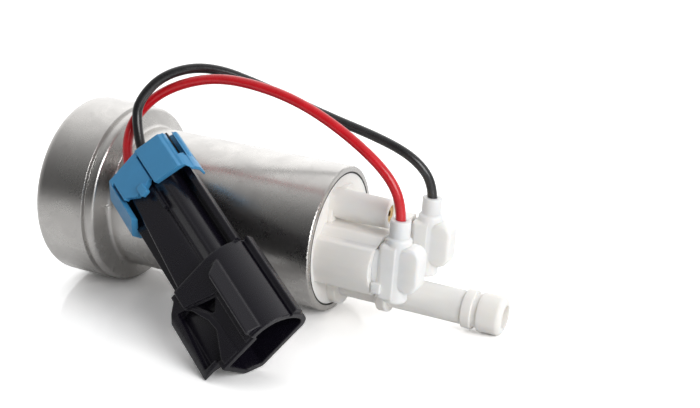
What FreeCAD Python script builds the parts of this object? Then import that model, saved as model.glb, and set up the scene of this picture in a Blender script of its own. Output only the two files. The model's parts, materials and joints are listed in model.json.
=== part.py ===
import FreeCAD, Part
import math
import os
import Sketcher

# In-tank turbine fuel pump with its two leads and two-way connector, lying on a flat surface.
# Pump frame: +X runs along the can from the inlet face to the outlet, +Z is up in the pump.
# Connector frame: X runs across the top face, Y out of it, Z from the rear to the mouth.
# Part frame: +Z is up, the origin is under the middle of the pump, on the surface it lies on.

SIZES = {
    # can
    "collar_radius": 25.0,
    "collar_wall": 1.2,
    "collar_round": 2.5,
    "collar_straight": 15.6,
    "bead_drop": 0.3,
    "bead_groove": 0.6,
    "bead_round": 1.2,
    "shoulder_start": 18.9,
    "shoulder_run": 1.7,
    "barrel_radius": 19.5,
    "barrel_wall": 0.9,
    "back_lip": 2.8,
    "rim_lip": 0.9,
    "rim_reach": 0.6,
    # clearances
    "seat_gap": 0.1,
    "running_gap": 0.04,
    "end_gap": 0.05,
    # turbine
    "cover_thickness": 5.6,
    "port_radius": 6.5,
    "port_bore": 5.0,
    "port_length": 6.2,
    "port_inset": 3.2,
    "vent_radius": 0.9,
    "boss_radius": 4.2,
    "boss_height": 1.8,
    "ring_thickness": 4.16,
    "ring_wall": 3.1,
    "impeller_thickness": 4.0,
    "impeller_gap": 0.2,
    "impeller_rim": 1.0,
    "channel_width": 4.2,
    "channel_depth": 1.4,
    "vane_wall": 1.0,
    "plate_thickness": 7.0,
    "spigot_height": 2.5,
    "o_ring_radius": 0.95,
    # shaft and bearings
    "shaft_radius": 2.0,
    "bearing_radius": 4.5,
    "bearing_length": 8.0,
    "thrust_thickness": 1.2,
    # motor
    "core_start": 30.0,
    "core_length": 26.0,
    "tooth_width": 3.2,
    "winding_height": 4.5,
    "air_gap": 0.55,
    "magnet_thickness": 3.15,
    "magnet_length": 36.0,
    "magnet_angle": 130.0,
    "flux_wall": 2.0,
    "flux_length": 40.0,
    "commutator_radius": 11.6,
    "commutator_height": 3.2,
    "brush_offset": 8.4,
    "brush_width": 5.0,
    "brush_height": 6.0,
    "brush_length": 9.8,
    "brush_gap": 0.1,
    "brush_room": 1.3,
    # end cap
    "cap_depth": 13.2,
    "cap_ring_radius": 0.82,
    "cap_ring_place": 2.6,
    "rim_groove": 0.4,
    "rim_groove_depth": 1.2,
    "outlet_offset": 10.83,
    "outlet_radius": 4.45,
    "outlet_bore": 3.0,
    "outlet_length": 47.8,
    "root_ring_radius": 6.9,
    "root_ring_length": 3.4,
    "stop_ring_radius": 5.9,
    "stop_ring_height": 14.2,
    "stop_ring_width": 2.8,
    "barb_radius": 5.06,
    "barb_height": 37.2,
    "barb_width": 2.7,
    "barb_gap": 1.4,
    "barb_round": 1.5,
    "post_radius": 3.72,
    "post_side": 5.3,
    "post_place": 11.7,
    "post_length": 16.8,
    "tower_length": 17.4,
    "tower_inset": 2.1,
    "tower_inner": 4.6,
    "tower_wall": 1.1,
    "socket_depth": 9.2,
    # valves
    "check_seat_radius": 2.0,
    "check_seat_height": 18.8,
    "check_head": 2.75,
    "check_head_thickness": 2.2,
    "check_stem": 0.9,
    "check_spring_length": 5.6,
    "cage_thickness": 2.0,
    "relief_seat_radius": 1.3,
    "relief_seat_height": 4.8,
    "relief_bore": 2.35,
    "relief_ball_radius": 2.2,
    "relief_spring_length": 4.8,
    # plugs and leads
    "plug_inset": 6.4,
    "plug_height": 17.55,
    "plug_width": 7.3,
    "plug_bottom": 8.7,
    "plug_top": 8.4,
    "plug_barrel": 3.3,
    "plug_shoulder": 6.6,
    "tongue_reach": 6.8,
    "tongue_width": 5.9,
    "tongue_top": 6.6,
    "tongue_bottom": 5.2,
    "tongue_round": 2.8,
    "wire_height": 21.6,
    "entry_radius": 2.6,
    "entry_height": 4.4,
    "blade_thickness": 0.8,
    "blade_width": 4.8,
    "wire_radius": 1.3,
    "wire_start": 10.4,
    "crimp_radius": 1.7,
    # connector
    "shroud_width": 20.6,
    "shroud_thickness": 12.8,
    "shroud_length": 24.3,
    "shroud_wall": 1.3,
    "shroud_depth": 17.0,
    "shroud_round": 9.0,
    "shroud_cut": 3.4,
    "shroud_rail": 0.9,
    "socket_roof": 4.9,
    "recess_depth": 1.0,
    "wing_reach": 5.7,
    "wing_thickness": 1.9,
    "wing_top": 0.8,
    "wing_bottom": 9.2,
    "rear_length": 38.0,
    "rear_left": 2.4,
    "rear_slant": 4.3,
    "rear_right": 18.3,
    "rear_top": 1.7,
    "lobe_top": 1.3,
    "rail_reach": 1.9,
    "cavity_left": 4.4,
    "cavity_spacing": 5.4,
    "cavity_depth": 6.3,
    "cavity_radius": 1.7,
    "seal_radius": 2.3,
    "seal_length": 4.0,
    "lock_gap": 0.2,
    "lock_wall": 1.7,
    "lock_length": 15.6,
    # where the connector lies, from the origin to the mouth's upper left corner
    "connector_x": 15.23,
    "connector_y": -55.84,
    "connector_yaw": 20.36,
    "connector_pitch": -47.79,
    "connector_roll": 139.58,
}

SLOT_COUNT = 8
VANE_COUNT = 31

doc = FreeCAD.newDocument("fuel_pump")
sheet = doc.addObject("Spreadsheet::Sheet", "dims")
for row, (alias, amount) in enumerate(SIZES.items(), start=1):
    sheet.set("A%d" % row, alias)
    sheet.set("B%d" % row, str(amount))
    sheet.setAlias("B%d" % row, alias)
doc.recompute()


class Size:
    """A length with the sheet formula that gives it."""

    def __init__(self, value, formula):
        self.value = value
        self.formula = formula

    def __add__(self, other):
        return Size(self.value + number(other), "(%s + %s)" % (self.formula, formula_of(other)))

    def __sub__(self, other):
        return Size(self.value - number(other), "(%s - %s)" % (self.formula, formula_of(other)))

    def __mul__(self, other):
        return Size(self.value * number(other), "(%s * %s)" % (self.formula, formula_of(other)))

    def __truediv__(self, other):
        return Size(self.value / number(other), "(%s / %s)" % (self.formula, formula_of(other)))

    def __neg__(self):
        return Size(-self.value, "(0 - %s)" % self.formula)

    def __radd__(self, other):
        return plain(other) + self

    def __rsub__(self, other):
        return plain(other) - self

    def __rmul__(self, other):
        return plain(other) * self


def number(item):
    return item.value if isinstance(item, Size) else float(item)


def formula_of(item):
    return item.formula if isinstance(item, Size) else "(%s)" % repr(float(item))


def plain(item):
    return Size(float(item), formula_of(item))


def size(alias):
    return Size(SIZES[alias], "dims." + alias)


def bind(target, path, item):
    target.setExpression(path, formula_of(item))


# Sketches

def origin_part(body, role):
    for part in body.Origin.OriginFeatures:
        if part.Role == role:
            return part
    raise RuntimeError("no origin feature " + role)


def new_sketch(body, name, role, lift=0, shift_x=0, shift_y=0):
    """A sketch on an origin plane, lifted along its normal and shifted in its plane."""
    sketch = body.newObject("Sketcher::SketchObject", name)
    sketch.AttachmentSupport = [(origin_part(body, role), "")]
    sketch.MapMode = "FlatFace"
    for path, item in (("x", shift_x), ("y", shift_y), ("z", lift)):
        if isinstance(item, Size) or item:
            bind(sketch, "AttachmentOffset.Base." + path, item)
    return sketch


def place_point(sketch, geometry, spot, corner):
    """Holds a point of the sketch at the corner's two sizes."""
    for kind, item in (("DistanceX", corner[0]), ("DistanceY", corner[1])):
        index = sketch.addConstraint(
            Sketcher.Constraint(kind, -1, 1, geometry, spot, number(item)))
        if isinstance(item, Size):
            bind(sketch, "Constraints[%d]" % index, item)


def set_radius(sketch, geometry, radius):
    index = sketch.addConstraint(Sketcher.Constraint("Radius", geometry, number(radius)))
    if isinstance(radius, Size):
        bind(sketch, "Constraints[%d]" % index, radius)


def add_outline(sketch, corners):
    """A closed outline of straight runs; a corner's third value is its rounding."""
    spots = [FreeCAD.Vector(number(corner[0]), number(corner[1]), 0) for corner in corners]
    count = len(corners)
    arrive = []
    leave = []
    arcs = []
    for index, corner in enumerate(corners):
        spot = spots[index]
        if len(corner) < 3:
            arrive.append(spot)
            leave.append(spot)
            arcs.append(None)
            continue
        back = (spots[index - 1] - spot).normalize()
        ahead = (spots[(index + 1) % count] - spot).normalize()
        radius = number(corner[2])
        half_turn = back.getAngle(ahead) / 2
        reach = radius / math.tan(half_turn)
        middle = spot + (back + ahead).normalize() * (radius / math.sin(half_turn))
        first = spot + back * reach
        last = spot + ahead * reach
        arrive.append(first)
        leave.append(last)
        forward = (first - middle).cross(last - middle).z > 0
        begin, end = (first, last) if forward else (last, first)
        angles = [math.atan2(point.y - middle.y, point.x - middle.x) for point in (begin, end)]
        circle = Part.Circle(middle, FreeCAD.Vector(0, 0, 1), radius)
        arcs.append((Part.ArcOfCircle(circle, angles[0], angles[1]), forward))
    lines = []
    for index in range(count):
        run = Part.LineSegment(leave[index], arrive[(index + 1) % count])
        lines.append(sketch.addGeometry(run, False))
    for index, corner in enumerate(corners):
        before = lines[index - 1]
        after = lines[index]
        if arcs[index] is None:
            sketch.addConstraint(Sketcher.Constraint("Coincident", before, 2, after, 1))
            place_point(sketch, after, 1, corner)
            continue
        arc_shape, forward = arcs[index]
        arc = sketch.addGeometry(arc_shape, False)
        tip = sketch.addGeometry(Part.Point(spots[index]), True)
        first_end, last_end = (1, 2) if forward else (2, 1)
        place_point(sketch, tip, 1, corner)
        sketch.addConstraint(Sketcher.Constraint("PointOnObject", tip, 1, before))
        sketch.addConstraint(Sketcher.Constraint("PointOnObject", tip, 1, after))
        sketch.addConstraint(Sketcher.Constraint("Tangent", before, 2, arc, first_end))
        sketch.addConstraint(Sketcher.Constraint("Tangent", arc, last_end, after, 1))
        set_radius(sketch, arc, corner[2])


def add_circle(sketch, x, y, radius):
    centre = FreeCAD.Vector(number(x), number(y), 0)
    circle = Part.Circle(centre, FreeCAD.Vector(0, 0, 1), number(radius))
    ring = sketch.addGeometry(circle, False)
    place_point(sketch, ring, 3, (x, y))
    set_radius(sketch, ring, radius)


def box_corners(low_x, high_x, low_y, high_y, rounding=None):
    corners = [(low_x, low_y), (high_x, low_y), (high_x, high_y), (low_x, high_y)]
    if rounding is None:
        return corners
    return [corner + (rounding,) for corner in corners]


# Features

def new_body(name):
    body = doc.addObject("PartDesign::Body", name)
    body.Label = name
    body.AllowCompound = True
    return body


def turn(body, name, corners, side=0, height=0, cut=False, angle=None, role="XZ_Plane"):
    """Revolves corners (place along the can, radius) about an axis along the can."""
    kind = "PartDesign::Groove" if cut else "PartDesign::Revolution"
    sketch = new_sketch(body, name + "_sketch", role, lift=-side, shift_y=height)
    add_outline(sketch, corners)
    feature = body.newObject(kind, name)
    feature.Profile = sketch
    feature.ReferenceAxis = (sketch, ["H_Axis"])
    if angle is None:
        feature.Angle = 360
    else:
        feature.Midplane = True
        bind(feature, "Angle", angle)
    return feature


def bore(body, name, start, end, radius, side=0, height=0):
    """A round hole along the can from start to end."""
    corners = [(start, 0), (start, radius), (end, radius), (end, 0)]
    return turn(body, name, corners, side, height, cut=True)


def pad(body, name, role, start, length, corners=None, circles=(), against=False, holes=()):
    """Pads an outline, less its holes, from start along the plane's normal or against it."""
    sketch = new_sketch(body, name + "_sketch", role, lift=start)
    if corners:
        add_outline(sketch, corners)
    for outline in holes:
        add_outline(sketch, outline)
    for x, y, radius in circles:
        add_circle(sketch, x, y, radius)
    feature = body.newObject("PartDesign::Pad", name)
    feature.Profile = sketch
    bind(feature, "Length", length)
    feature.Reversed = against
    return feature


def pocket(body, name, role, start, length, corners=None, circles=(), along=False):
    """Cuts an outline from start, against the plane's normal or along it."""
    sketch = new_sketch(body, name + "_sketch", role, lift=start)
    if corners:
        add_outline(sketch, corners)
    for x, y, radius in circles:
        add_circle(sketch, x, y, radius)
    feature = body.newObject("PartDesign::Pocket", name)
    feature.Profile = sketch
    bind(feature, "Length", length)
    feature.Reversed = along
    return feature


def repeat_round(body, feature, name, count, axis=None):
    """Repeats a feature evenly about the can's axis, or about another sketch axis."""
    pattern = body.newObject("PartDesign::PolarPattern", name)
    pattern.Originals = [feature]
    pattern.Axis = axis if axis else (origin_part(body, "X_Axis"), [""])
    pattern.Angle = 360
    pattern.Occurrences = count
    body.Tip = pattern
    return pattern


pump_nodes = []
connector_nodes = []


def pump_body(name):
    body = new_body(name)
    pump_nodes.append(body)
    return body


def connector_body(name):
    body = new_body(name)
    connector_nodes.append(body)
    return body


def turned(name, corners, side=0, height=0):
    """A pump piece that is one revolved outline."""
    body = pump_body(name)
    turn(body, name + "_turn", corners, side, height)
    return body


def sleeve(name, start, end, inner, outer, side=0, height=0):
    return turned(name, [(start, inner), (start, outer), (end, outer), (end, inner)], side, height)


# Places along the can

collar_inner = size("collar_radius") - size("collar_wall")
barrel_inner = size("barrel_radius") - size("barrel_wall")
collar_seat = collar_inner - size("seat_gap")
barrel_seat = barrel_inner - size("seat_gap")
cover_back = size("collar_wall")
cover_front = cover_back + size("cover_thickness")
ring_front = cover_front + size("ring_thickness")
plate_front = ring_front + size("plate_thickness")
spigot_front = plate_front + size("spigot_height")
bearing_seat_start = spigot_front - size("bearing_length") - size("end_gap") * 2
impeller_radius = collar_seat - size("ring_wall") - size("impeller_gap")
channel_outer = impeller_radius - size("impeller_rim")
channel_inner = channel_outer - size("channel_width")
port_offset = channel_inner - size("port_inset")
impeller_back = cover_front + (size("ring_thickness") - size("impeller_thickness")) / 2
impeller_front = impeller_back + size("impeller_thickness")
flux_inner = barrel_seat - size("flux_wall")
magnet_outer = flux_inner - size("end_gap")
magnet_inner = magnet_outer - size("magnet_thickness")
core_radius = magnet_inner - size("air_gap")
core_end = size("core_start") + size("core_length")
winding_start = size("core_start") - size("winding_height") - size("seat_gap")
winding_end = core_end + size("winding_height") + size("seat_gap")
commutator_start = winding_end + size("seat_gap") + 0.8
commutator_end = commutator_start + size("commutator_height")
cap_inner = commutator_end + size("brush_room")
cap_face = cap_inner + size("cap_depth")
can_length = cap_face + size("seat_gap") + size("rim_lip")
tower_end = cap_face + size("tower_length")
tower_reach = size("barrel_radius") - size("tower_inset")
socket_floor = tower_end - size("socket_depth")
socket_outer = tower_reach - 3.4
outlet_end = cap_face + size("outlet_length")
stop_ring_start = cap_face + size("stop_ring_height")
barb_start = cap_face + size("barb_height")
post_end = cap_face + size("post_length")
check_seat_start = cap_face + size("check_seat_height")
relief_seat_start = cap_face + size("relief_seat_height")
plug_side = tower_reach - size("plug_inset")
plug_start = cap_face + size("plug_height")
wire_place = cap_face + size("wire_height")
contact_front = wire_place + size("plug_barrel") - 0.1
cap_bearing_end = cap_inner + size("bearing_length") + size("end_gap") * 2
thrust_start = cover_front - size("thrust_thickness") - 1.4
shaft_start = thrust_start + size("thrust_thickness") + size("end_gap")
shaft_end = cap_bearing_end - 0.8
channel_middle = (channel_inner + channel_outer) / 2


# Can

def build_can():
    bead_radius = size("collar_radius") - size("bead_drop")
    groove_radius = bead_radius - size("bead_groove")
    groove_start = size("collar_straight") + 0.4
    shoulder_end = size("shoulder_start") + size("shoulder_run")
    wall_shift = size("barrel_wall") * 0.72
    back_opening = size("collar_radius") - size("collar_wall") - size("back_lip")
    rim_opening = barrel_inner - size("rim_reach")
    rim_start = can_length - size("rim_lip")
    turned("pump_can", [
        (0, back_opening),
        (0, size("collar_radius"), size("collar_round")),
        (size("collar_straight"), size("collar_radius")),
        (groove_start, groove_radius),
        (groove_start + 0.6, groove_radius),
        (groove_start + 0.9, bead_radius),
        (size("shoulder_start"), bead_radius, size("bead_round")),
        (shoulder_end, size("barrel_radius"), size("bead_round")),
        (can_length, size("barrel_radius"), size("rim_lip") / 2),
        (can_length, rim_opening),
        (rim_start, rim_opening),
        (rim_start, barrel_inner),
        (shoulder_end - wall_shift, barrel_inner),
        (size("shoulder_start") - wall_shift, collar_inner),
        (size("collar_wall"), collar_inner),
        (size("collar_wall"), back_opening),
    ])


# Turbine

def add_channel(body, name, low, high):
    turn(body, name, [
        (low, channel_inner),
        (low, channel_outer),
        (high, channel_outer),
        (high, channel_inner),
    ], cut=True)


def build_inlet_cover():
    body = pump_body("inlet_cover")
    dish = cover_back + 0.8
    dish_radius = size("collar_radius") - size("collar_wall") - size("back_lip") - 0.8
    turn(body, "cover_disc", [
        (cover_back - size("boss_height"), 0),
        (cover_back - size("boss_height"), size("boss_radius"), 0.6),
        (dish, size("boss_radius")),
        (dish, dish_radius - 0.2),
        (cover_back, dish_radius),
        (cover_back, collar_seat),
        (cover_front, collar_seat),
        (cover_front, 0),
    ])
    port_end = cover_back - size("port_length")
    turn(body, "port", [
        (cover_back + 2, 0),
        (cover_back + 2, size("port_radius")),
        (port_end, size("port_radius"), 0.5),
        (port_end, 0),
    ], side=port_offset)
    port_floor = cover_front - size("channel_depth") + 0.2
    bore(body, "port_hole", port_end - 1, port_floor, size("port_bore"), side=port_offset)
    add_channel(body, "cover_channel", cover_front - size("channel_depth"), cover_front + 1)
    pivot_radius = size("shaft_radius") + size("running_gap")
    bore(body, "pivot_hole", thrust_start, cover_front + 1, pivot_radius)
    bore(body, "vent_hole", cover_back - 2, cover_front + 1, size("vent_radius"),
         side=-channel_middle * 0.85, height=channel_middle * 0.5)
    turned("thrust_button", [
        (thrust_start, 0),
        (thrust_start, size("shaft_radius")),
        (thrust_start + size("thrust_thickness"), size("shaft_radius"), 0.3),
        (thrust_start + size("thrust_thickness"), 0),
    ])


def build_impeller():
    hub_bore = size("shaft_radius") + size("running_gap") / 2
    body = pump_body("impeller")
    turn(body, "impeller_disc", [
        (impeller_back, hub_bore),
        (impeller_back, impeller_radius, 0.3),
        (impeller_front, impeller_radius, 0.3),
        (impeller_front, hub_bore),
    ])
    # pockets between the vanes, a little narrower than one share of the ring
    low = channel_inner + 0.2
    high = channel_outer - 0.2
    share = math.pi / VANE_COUNT
    low_half = low * share - size("vane_wall") / 2
    high_half = high * share - size("vane_wall") / 2
    vane_pocket = pocket(body, "vane_pocket", "YZ_Plane", impeller_front + 0.5,
                         size("impeller_thickness") + 1, [
                             (-low_half, low),
                             (low_half, low),
                             (high_half, high),
                             (-high_half, high),
                         ])
    repeat_round(body, vane_pocket, "vane_pockets", VANE_COUNT)
    balance = bore(body, "balance_hole", impeller_back - 1, impeller_front + 1, 1.2,
                   height=channel_inner * 0.55)
    repeat_round(body, balance, "balance_holes", 4)
    sleeve("impeller_ring", cover_front, ring_front,
           impeller_radius + size("impeller_gap"), collar_seat)


def build_pressure_plate():
    body = pump_body("pressure_plate")
    groove_floor = collar_seat - size("o_ring_radius") * 2 - size("end_gap")
    groove_start = ring_front + 1.8
    groove_end = groove_start + size("o_ring_radius") * 2 + 0.2
    shaft_hole = size("shaft_radius") + 0.4
    turn(body, "plate_disc", [
        (ring_front, shaft_hole),
        (ring_front, collar_seat),
        (groove_start, collar_seat),
        (groove_start, groove_floor),
        (groove_end, groove_floor),
        (groove_end, collar_seat),
        (plate_front - 0.4, collar_seat),
        (plate_front, collar_seat - 0.5),
        (plate_front, barrel_seat - 0.2),
        (spigot_front, barrel_seat - 0.2, 0.5),
        (spigot_front, size("bearing_radius")),
        (bearing_seat_start, size("bearing_radius")),
        (bearing_seat_start, shaft_hole),
    ])
    add_channel(body, "plate_channel", ring_front - 1, ring_front + size("channel_depth"))
    bore(body, "outlet_window", ring_front - 1, spigot_front + 1, 2.0,
         side=-(channel_inner + 0.4))
    o_ring("plate_o_ring", (groove_start + groove_end) / 2, collar_seat, size("o_ring_radius"))


def o_ring(name, place, wall_radius, section):
    body = pump_body(name)
    sketch = new_sketch(body, name + "_sketch", "XZ_Plane")
    add_circle(sketch, place, wall_radius - section, section)
    feature = body.newObject("PartDesign::Revolution", name + "_turn")
    feature.Profile = sketch
    feature.ReferenceAxis = (sketch, ["H_Axis"])
    feature.Angle = 360


# Rotor and its bearings

def build_rotor():
    hub_bore = size("shaft_radius") + size("running_gap") / 2
    turned("shaft", [
        (shaft_start, 0),
        (shaft_start, size("shaft_radius"), 0.3),
        (shaft_end, size("shaft_radius"), 0.3),
        (shaft_end, 0),
    ])
    bush_bore = size("shaft_radius") + size("running_gap")
    bush_radius = size("bearing_radius") - size("running_gap")
    for name, start in (("lower_bearing", bearing_seat_start), ("upper_bearing", cap_inner)):
        low = start + size("end_gap")
        high = low + size("bearing_length")
        turned(name, [
            (low, bush_bore),
            (low, bush_radius, 0.4),
            (high, bush_radius, 0.4),
            (high, bush_bore),
        ])

    # winding slots: a narrow mouth, then a bay between teeth of even width
    bay_low = core_radius * 0.5
    bay_high = core_radius - 1.6
    share = math.sin(math.pi / SLOT_COUNT)
    low_half = bay_low * share - size("tooth_width") / 2
    high_half = bay_high * share - size("tooth_width") / 2
    core = pump_body("armature_core")
    pad(core, "core_stack", "YZ_Plane", size("core_start"), size("core_length"),
        circles=[(0, 0, core_radius), (0, 0, hub_bore)])
    slot = pocket(core, "slot", "YZ_Plane", core_end + 1, size("core_length") + 2, [
        (-low_half, bay_low),
        (low_half, bay_low),
        (high_half, bay_high),
        (0.9, bay_high),
        (0.9, core_radius + 1),
        (-0.9, core_radius + 1),
        (-0.9, bay_high),
        (-high_half, bay_high),
    ])
    repeat_round(core, slot, "slots", SLOT_COUNT)

    # windings: end turns joined by a bar in each slot
    ring_low = core_radius * 0.36
    ring_high = bay_high + 0.3
    windings = pump_body("windings")
    turn(windings, "rear_turns", [
        (winding_start, ring_low, 1.2),
        (winding_start, ring_high, 1.6),
        (size("core_start") - size("seat_gap"), ring_high),
        (size("core_start") - size("seat_gap"), ring_low),
    ])
    slack = size("seat_gap") * 1.5
    bar = pad(windings, "slot_bar", "YZ_Plane", size("core_start") - 1, size("core_length") + 2, [
        (slack - low_half, bay_low + slack),
        (low_half - slack, bay_low + slack),
        (high_half - slack * 2, bay_high - slack),
        (slack * 2 - high_half, bay_high - slack),
    ])
    repeat_round(windings, bar, "slot_bars", SLOT_COUNT)
    turn(windings, "front_turns", [
        (core_end + size("seat_gap"), ring_low),
        (core_end + size("seat_gap"), ring_high),
        (winding_end, ring_high, 1.6),
        (winding_end, ring_low, 1.2),
    ])

    commutator = pump_body("commutator")
    turn(commutator, "segments", [
        (winding_end + size("seat_gap"), hub_bore),
        (winding_end + size("seat_gap"), 5.0),
        (commutator_start, 5.0),
        (commutator_start, size("commutator_radius")),
        (commutator_end, size("commutator_radius"), 0.3),
        (commutator_end, hub_bore),
    ])
    cut = pocket(commutator, "segment_cut", "YZ_Plane", commutator_end + 0.5,
                 size("commutator_height") / 2 + 0.5, [
                     (-0.25, 3.4),
                     (0.25, 3.4),
                     (0.25, size("commutator_radius") + 1),
                     (-0.25, size("commutator_radius") + 1),
                 ])
    repeat_round(commutator, cut, "segment_cuts", SLOT_COUNT)


def build_field():
    middle = (size("core_start") + core_end) / 2
    sleeve("flux_ring", middle - size("flux_length") / 2, middle + size("flux_length") / 2,
           flux_inner, barrel_seat)
    low = middle - size("magnet_length") / 2
    high = middle + size("magnet_length") / 2
    for name, sign in (("front_magnet", -1), ("rear_magnet", 1)):
        body = pump_body(name)
        turn(body, name + "_turn", [
            (low, magnet_inner * sign),
            (low, magnet_outer * sign),
            (high, magnet_outer * sign),
            (high, magnet_inner * sign),
        ], angle=size("magnet_angle"), role="XY_Plane")
    clip_low = low + 3
    clip_high = high - 3
    clips = pump_body("magnet_clips")
    clip = turn(clips, "clip", [
        (clip_low, magnet_outer - 0.7),
        (clip_low, magnet_outer),
        (clip_high, magnet_outer),
        (clip_high, magnet_outer - 0.7),
    ], angle=(180 - size("magnet_angle")) * 0.84)
    repeat_round(clips, clip, "clip_pair", 2)


# End cap

def tower_outline(sign):
    """Tower section seen along the can; sign is -1 on the front side, 1 on the rear side."""
    return [
        (size("tower_inner") * sign, 7.3, 0.6),
        ((tower_reach - 6.0) * sign, 7.3, 1.2),
        ((tower_reach - 4.5) * sign, 5.3),
        ((tower_reach - 1.9) * sign, 5.0, 1.0),
        (tower_reach * sign, -1.0, 11.0),
        ((tower_reach - 2.9) * sign, -7.4, 1.2),
        (size("tower_inner") * sign, -7.4, 0.6),
    ]


def build_outlet_cover():
    body = pump_body("outlet_cover")
    groove_floor = barrel_seat - size("cap_ring_radius") * 2 - size("end_gap")
    groove_start = cap_inner + size("cap_ring_place")
    groove_end = groove_start + size("cap_ring_radius") * 2 + 0.3
    raised_radius = barrel_inner - size("rim_reach") - size("rim_groove")
    raised_face = cap_face + size("seat_gap") + size("rim_lip")
    groove_bottom = raised_face - size("rim_groove_depth")
    turn(body, "cap_disc", [
        (cap_inner, size("bearing_radius")),
        (cap_inner, barrel_seat, 0.4),
        (groove_start, barrel_seat),
        (groove_start, groove_floor),
        (groove_end, groove_floor),
        (groove_end, barrel_seat),
        (cap_face, barrel_seat),
        (cap_face, raised_radius + size("rim_groove")),
        (groove_bottom, raised_radius + size("rim_groove")),
        (groove_bottom, raised_radius),
        (raised_face, raised_radius, 0.25),
        (raised_face, 0),
        (cap_bearing_end, 0),
        (cap_bearing_end, size("bearing_radius")),
    ])
    # raised block round the foot of the post
    pad(body, "post_block", "YZ_Plane", cap_face - 0.5, 2.6, [
        (-9.6, 7.0, 0.8),
        (4.2, 7.0, 0.8),
        (4.2, 14.8, 1.5),
        (-8.6, 14.8, 1.5),
    ])
    # towers, with a hollow end edge and a socket for the plug's nose
    for side_name, sign in (("front", -1), ("rear", 1)):
        pad(body, side_name + "_tower", "YZ_Plane", cap_face - 0.5,
            tower_end - cap_face + 0.5, tower_outline(sign))
    hollow = 24.0
    pocket(body, "tower_hollow", "XZ_Plane", 20, 40,
           circles=[(tower_end + hollow - 1.3, -0.8, hollow)], along=False)
    for side_name, sign in (("front", -1), ("rear", 1)):
        inner = (size("tower_inner") + size("tower_wall")) * sign
        pocket(body, side_name + "_socket", "YZ_Plane", tower_end + 1,
               size("socket_depth") + 1, box_corners(inner, socket_outer * sign, -5.6, 4.9))
        low = (size("brush_offset") - size("brush_width") / 2 - size("brush_gap")) * sign
        high = (size("brush_offset") + size("brush_width") / 2 + size("brush_gap")) * sign
        reach = size("brush_height") / 2 + size("brush_gap")
        pocket(body, side_name + "_brush_bore", "YZ_Plane", cap_inner - 1,
               socket_floor - cap_inner + 1.5, box_corners(low, high, -reach, reach), along=True)
    turn(body, "outlet_tube", [
        (cap_face - 0.5, 0),
        (cap_face - 0.5, size("root_ring_radius")),
        (cap_face + size("root_ring_length"), size("root_ring_radius"), 0.5),
        (cap_face + size("root_ring_length"), size("outlet_radius")),
        (stop_ring_start, size("outlet_radius")),
        (stop_ring_start, size("stop_ring_radius"), 0.5),
        (stop_ring_start + size("stop_ring_width"), size("stop_ring_radius"), 0.5),
        (stop_ring_start + size("stop_ring_width"), size("outlet_radius")),
        (barb_start, size("outlet_radius")),
        (barb_start, size("barb_radius"), 0.3),
        (barb_start + size("barb_width"), size("barb_radius"), 0.3),
        (barb_start + size("barb_width"), size("outlet_radius")),
        (barb_start + size("barb_width") + size("barb_gap"), size("outlet_radius")),
        (barb_start + size("barb_width") + size("barb_gap"), size("barb_radius"), 0.3),
        (outlet_end, size("barb_radius"), size("barb_round")),
        (outlet_end, 0),
    ], height=-size("outlet_offset"))
    turn(body, "post", [
        (cap_face - 0.5, 0),
        (cap_face - 0.5, size("post_radius") + 0.2),
        (post_end, size("post_radius"), 0.4),
        (post_end, 0),
    ], side=-size("post_side"), height=size("post_place"))
    turn(body, "outlet_passage", [
        (cap_inner - 1, 0),
        (cap_inner - 1, size("check_seat_radius")),
        (check_seat_start, size("check_seat_radius")),
        (check_seat_start, size("outlet_bore")),
        (outlet_end + 1, size("outlet_bore")),
        (outlet_end + 1, 0),
    ], height=-size("outlet_offset"), cut=True)
    turn(body, "relief_passage", [
        (cap_inner - 1, 0),
        (cap_inner - 1, size("relief_seat_radius")),
        (relief_seat_start, size("relief_seat_radius")),
        (relief_seat_start, size("relief_bore")),
        (post_end + 1, size("relief_bore")),
        (post_end + 1, 0),
    ], side=-size("post_side"), height=size("post_place"), cut=True)
    o_ring("cover_o_ring", (groove_start + groove_end) / 2, barrel_seat, size("cap_ring_radius"))


def build_brush_set(side_name, sign):
    brush_end = commutator_end + size("end_gap") + size("brush_length")
    low = (size("brush_offset") - size("brush_width") / 2) * sign
    high = (size("brush_offset") + size("brush_width") / 2) * sign
    brush = pump_body(side_name + "_brush")
    pad(brush, side_name + "_carbon", "YZ_Plane", commutator_end + size("end_gap"),
        size("brush_length"),
        box_corners(low, high, -size("brush_height") / 2, size("brush_height") / 2))
    sleeve(side_name + "_brush_spring", brush_end + size("end_gap"), socket_floor,
           1.5, 2.1, side=size("brush_offset") * sign)

    terminal = pump_body(side_name + "_terminal")
    base_low = (size("tower_inner") + size("tower_wall") + 0.2) * sign
    base_high = (socket_outer - 1.0) * sign
    base_top = socket_floor + size("end_gap")
    pad(terminal, side_name + "_base", "YZ_Plane", base_top, 1.0,
        box_corners(base_low, base_high, -4.2, 4.2))
    blade_low = (plug_side - size("blade_thickness") / 2) * sign
    blade_high = (plug_side + size("blade_thickness") / 2) * sign
    half_width = size("blade_width") / 2
    pad(terminal, side_name + "_blade", "YZ_Plane", base_top,
        contact_front - 0.6 - base_top,
        box_corners(blade_low, blade_high, -half_width, half_width))


# Valves

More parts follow.
